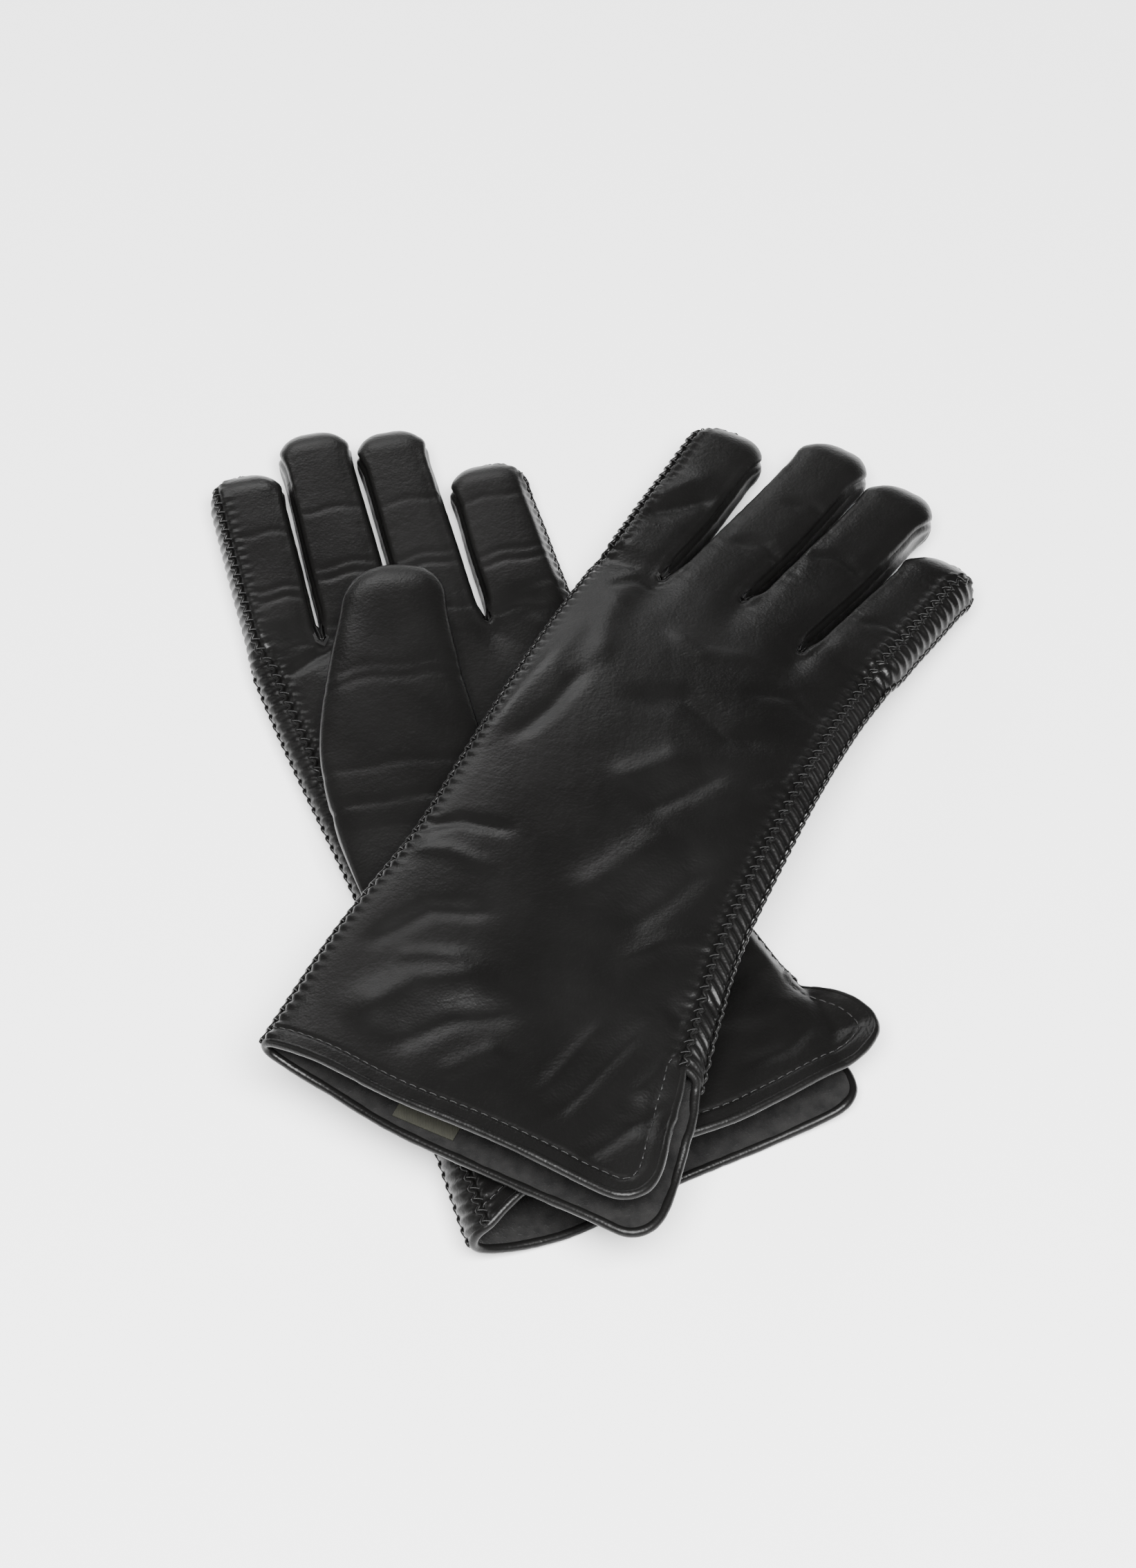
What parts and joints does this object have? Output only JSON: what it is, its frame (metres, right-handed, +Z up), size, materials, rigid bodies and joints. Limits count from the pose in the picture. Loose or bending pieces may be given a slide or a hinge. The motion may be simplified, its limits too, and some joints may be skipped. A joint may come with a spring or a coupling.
{
  "type": "pair of lined leather gloves",
  "caption": "Pair of dark lined leather dress gloves with a slit cuff, side seams and sewn-in fingers, lying crossed, one palm up and one back up.",
  "frame": {"origin": "centre of the bounding box, on the table plane under the gloves", "axes": "+X to the right and +Y away from the viewer across the table, +Z up; the fingers point along +Y, the left glove's turned to -X and the right glove's to +X"},
  "size_m": [0.2391, 0.3188, 0.05],
  "materials": {
    "leather": "satin",
    "edge_leather": "satin",
    "lining": "matte",
    "thread": "matte",
    "label": "matte"
  },
  "bodies": {
    "left_hand": {"left_back_panel": "leather", "left_palm_panel": "leather", "left_lining": "lining", "left_outer_strip": "edge_leather", "left_inner_strip": "edge_leather", "left_fourchette_1": "leather", "left_fourchette_2": "leather", "left_fourchette_3": "leather", "left_hem": "leather", "left_hem_thread": "thread", "left_thumb": "leather", "left_thumb_lining": "lining"},
    "left_index": {"left_index_back": "leather", "left_index_palm": "leather", "left_index_sides": "edge_leather", "left_index_lining": "lining"},
    "left_middle": {"left_middle_back": "leather", "left_middle_palm": "leather", "left_middle_sides": "edge_leather", "left_middle_lining": "lining"},
    "left_ring": {"left_ring_back": "leather", "left_ring_palm": "leather", "left_ring_sides": "edge_leather", "left_ring_lining": "lining"},
    "left_little": {"left_little_back": "leather", "left_little_palm": "leather", "left_little_sides": "edge_leather", "left_little_lining": "lining"},
    "right_hand": {"right_back_panel": "leather", "right_palm_panel": "leather", "right_lining": "lining", "right_outer_strip": "edge_leather", "right_inner_strip": "edge_leather", "right_fourchette_1": "leather", "right_fourchette_2": "leather", "right_fourchette_3": "leather", "right_hem": "leather", "right_hem_thread": "thread", "right_thumb": "leather", "right_thumb_lining": "lining", "right_label": "label"},
    "right_index": {"right_index_back": "leather", "right_index_palm": "leather", "right_index_sides": "edge_leather", "right_index_lining": "lining"},
    "right_middle": {"right_middle_back": "leather", "right_middle_palm": "leather", "right_middle_sides": "edge_leather", "right_middle_lining": "lining"},
    "right_ring": {"right_ring_back": "leather", "right_ring_palm": "leather", "right_ring_sides": "edge_leather", "right_ring_lining": "lining"},
    "right_little": {"right_little_back": "leather", "right_little_palm": "leather", "right_little_sides": "edge_leather", "right_little_lining": "lining"},
    "left_thumb_tip": {"left_thumb_tip": "leather", "left_thumb_tip_lining": "lining"}
  },
  "joints": [
    {"name": "right_glove_lift", "type": "slide", "parent": "left_hand", "child": "right_hand", "axis": [0, 0, 1], "range_m": [0, 0.12]},
    {"name": "left_index_bend", "type": "hinge", "parent": "left_hand", "child": "left_index", "pos_m": [-0.09805, 0.08515, 0.01549], "axis": [0.9724, 0.2335, 0], "range_deg": [0, 60], "stiffness_Nm_per_rad": 0.03},
    {"name": "left_middle_bend", "type": "hinge", "parent": "left_hand", "child": "left_middle", "pos_m": [-0.07575, 0.09591, 0.01549], "axis": [0.9739, 0.227, 0], "range_deg": [0, 60], "stiffness_Nm_per_rad": 0.03},
    {"name": "left_ring_bend", "type": "hinge", "parent": "left_hand", "child": "left_ring", "pos_m": [-0.05051, 0.09983, 0.01549], "axis": [0.9694, 0.2457, 0], "range_deg": [0, 60], "stiffness_Nm_per_rad": 0.03},
    {"name": "left_little_bend", "type": "hinge", "parent": "left_hand", "child": "left_little", "pos_m": [-0.02311, 0.10183, 0.01549], "axis": [0.9683, 0.2497, 0], "range_deg": [0, 60], "stiffness_Nm_per_rad": 0.03},
    {"name": "right_index_bend", "type": "hinge", "parent": "right_hand", "child": "right_index", "pos_m": [0.02307, 0.10483, 0.02601], "axis": [0.8874, -0.461, 0], "range_deg": [0, 35], "stiffness_Nm_per_rad": 0.03},
    {"name": "right_middle_bend", "type": "hinge", "parent": "right_hand", "child": "right_middle", "pos_m": [0.04838, 0.09504, 0.02558], "axis": [0.8305, -0.5571, 0], "range_deg": [0, 35], "stiffness_Nm_per_rad": 0.03},
    {"name": "right_ring_bend", "type": "hinge", "parent": "right_hand", "child": "right_ring", "pos_m": [0.06942, 0.07915, 0.02653], "axis": [0.8212, -0.5707, 0], "range_deg": [0, 35], "stiffness_Nm_per_rad": 0.03},
    {"name": "right_little_bend", "type": "hinge", "parent": "right_hand", "child": "right_little", "pos_m": [0.08987, 0.06085, 0.02794], "axis": [0.8242, -0.5662, 0], "range_deg": [0, 35], "stiffness_Nm_per_rad": 0.03},
    {"name": "left_thumb_bend", "type": "hinge", "parent": "left_hand", "child": "left_thumb_tip", "pos_m": [-0.05917, 0.04306, 0.02699], "axis": [0.9962, 0.0872, 0], "range_deg": [0, 50], "stiffness_Nm_per_rad": 0.03}
  ]
}
